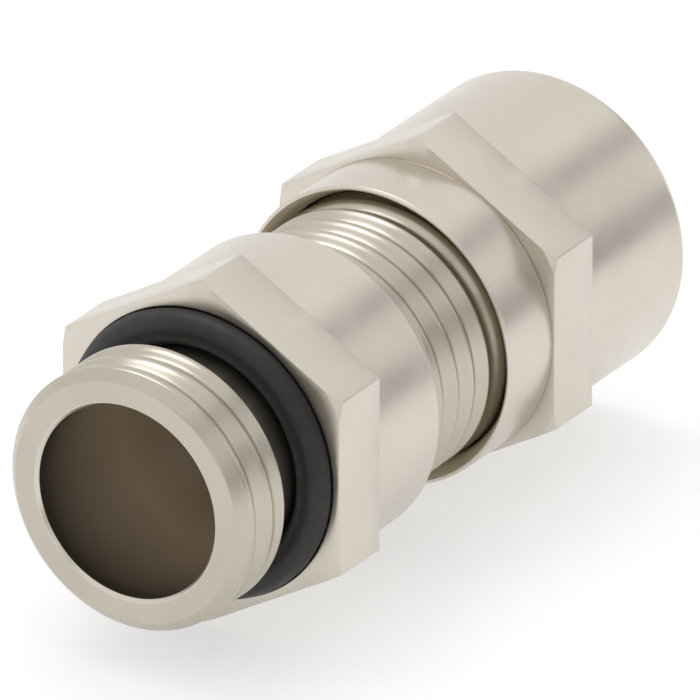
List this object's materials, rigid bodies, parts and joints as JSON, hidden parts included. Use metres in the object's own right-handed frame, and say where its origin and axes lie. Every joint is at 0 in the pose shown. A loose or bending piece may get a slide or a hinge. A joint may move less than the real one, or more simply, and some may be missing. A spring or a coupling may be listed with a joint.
{
  "type": "cable gland",
  "caption": "Metric cable gland in nickel-plated brass: threaded hexagon body, panel O-ring, clamping cage, seal and a long cap nut that screws on to grip the cable.",
  "frame": {"origin": "on the gland's axis, in the plane of the body hexagon's face that rests on the panel", "axes": "+Y along the gland's axis from the entry thread towards the cable end, +Z through one corner of the body hexagon"},
  "size_m": [0.014, 0.0337, 0.0162],
  "materials": {
    "body_nickel": "satin nickel plating",
    "nut_nickel": "satin nickel plating",
    "ring_rubber": "smooth black",
    "seal_rubber": "matt black",
    "cage_plastic": "moulded grey polyamide",
    "slip_plastic": "natural acetal"
  },
  "bodies": {
    "gland_body": {"gland_body": "body_nickel", "entry_o_ring": "ring_rubber", "cage_ring": "cage_plastic", "sealing_insert": "seal_rubber"},
    "slip_ring": {"slip_ring": "slip_plastic"},
    "cap_nut": {"cap_nut": "nut_nickel"},
    "finger_01": {"cage_finger_01": "cage_plastic"},
    "finger_02": {"cage_finger_02": "cage_plastic"},
    "finger_03": {"cage_finger_03": "cage_plastic"},
    "finger_04": {"cage_finger_04": "cage_plastic"},
    "finger_05": {"cage_finger_05": "cage_plastic"},
    "finger_06": {"cage_finger_06": "cage_plastic"},
    "finger_07": {"cage_finger_07": "cage_plastic"},
    "finger_08": {"cage_finger_08": "cage_plastic"},
    "finger_09": {"cage_finger_09": "cage_plastic"},
    "finger_10": {"cage_finger_10": "cage_plastic"}
  },
  "joints": [
    {"name": "nut_advance", "type": "slide", "parent": "gland_body", "child": "slip_ring", "axis": [0, -1, 0], "range_m": [0, 0.0025]},
    {"name": "nut_turn", "type": "hinge", "parent": "slip_ring", "child": "cap_nut", "pos_m": [0, 0.0207, 0], "axis": [0, -1, 0], "range_deg": [0, 720]},
    {"name": "finger_01_swing", "type": "hinge", "parent": "gland_body", "child": "finger_01", "pos_m": [0.00495, 0.0185, 0], "axis": [0, 0, 1], "range_deg": [0, 13.5]},
    {"name": "finger_02_swing", "type": "hinge", "parent": "gland_body", "child": "finger_02", "pos_m": [0.004, 0.0185, 0.00291], "axis": [-0.5878, 0, 0.809], "range_deg": [0, 13.5]},
    {"name": "finger_03_swing", "type": "hinge", "parent": "gland_body", "child": "finger_03", "pos_m": [0.00153, 0.0185, 0.00471], "axis": [-0.9511, 0, 0.309], "range_deg": [0, 13.5]},
    {"name": "finger_04_swing", "type": "hinge", "parent": "gland_body", "child": "finger_04", "pos_m": [-0.00153, 0.0185, 0.00471], "axis": [-0.9511, 0, -0.309], "range_deg": [0, 13.5]},
    {"name": "finger_05_swing", "type": "hinge", "parent": "gland_body", "child": "finger_05", "pos_m": [-0.004, 0.0185, 0.00291], "axis": [-0.5878, 0, -0.809], "range_deg": [0, 13.5]},
    {"name": "finger_06_swing", "type": "hinge", "parent": "gland_body", "child": "finger_06", "pos_m": [-0.00495, 0.0185, 0], "axis": [0, 0, -1], "range_deg": [0, 13.5]},
    {"name": "finger_07_swing", "type": "hinge", "parent": "gland_body", "child": "finger_07", "pos_m": [-0.004, 0.0185, -0.00291], "axis": [0.5878, 0, -0.809], "range_deg": [0, 13.5]},
    {"name": "finger_08_swing", "type": "hinge", "parent": "gland_body", "child": "finger_08", "pos_m": [-0.00153, 0.0185, -0.00471], "axis": [0.9511, 0, -0.309], "range_deg": [0, 13.5]},
    {"name": "finger_09_swing", "type": "hinge", "parent": "gland_body", "child": "finger_09", "pos_m": [0.00153, 0.0185, -0.00471], "axis": [0.9511, 0, 0.309], "range_deg": [0, 13.5]},
    {"name": "finger_10_swing", "type": "hinge", "parent": "gland_body", "child": "finger_10", "pos_m": [0.004, 0.0185, -0.00291], "axis": [0.5878, 0, 0.809], "range_deg": [0, 13.5]}
  ],
  "couplings": [
    {"joint": "nut_advance", "follows": "nut_turn", "m_per_rad": 0.00019894},
    {"joint": "finger_01_swing", "follows": "nut_turn", "ratio": 0.01875},
    {"joint": "finger_02_swing", "follows": "nut_turn", "ratio": 0.01875},
    {"joint": "finger_03_swing", "follows": "nut_turn", "ratio": 0.01875},
    {"joint": "finger_04_swing", "follows": "nut_turn", "ratio": 0.01875},
    {"joint": "finger_05_swing", "follows": "nut_turn", "ratio": 0.01875},
    {"joint": "finger_06_swing", "follows": "nut_turn", "ratio": 0.01875},
    {"joint": "finger_07_swing", "follows": "nut_turn", "ratio": 0.01875},
    {"joint": "finger_08_swing", "follows": "nut_turn", "ratio": 0.01875},
    {"joint": "finger_09_swing", "follows": "nut_turn", "ratio": 0.01875},
    {"joint": "finger_10_swing", "follows": "nut_turn", "ratio": 0.01875}
  ]
}
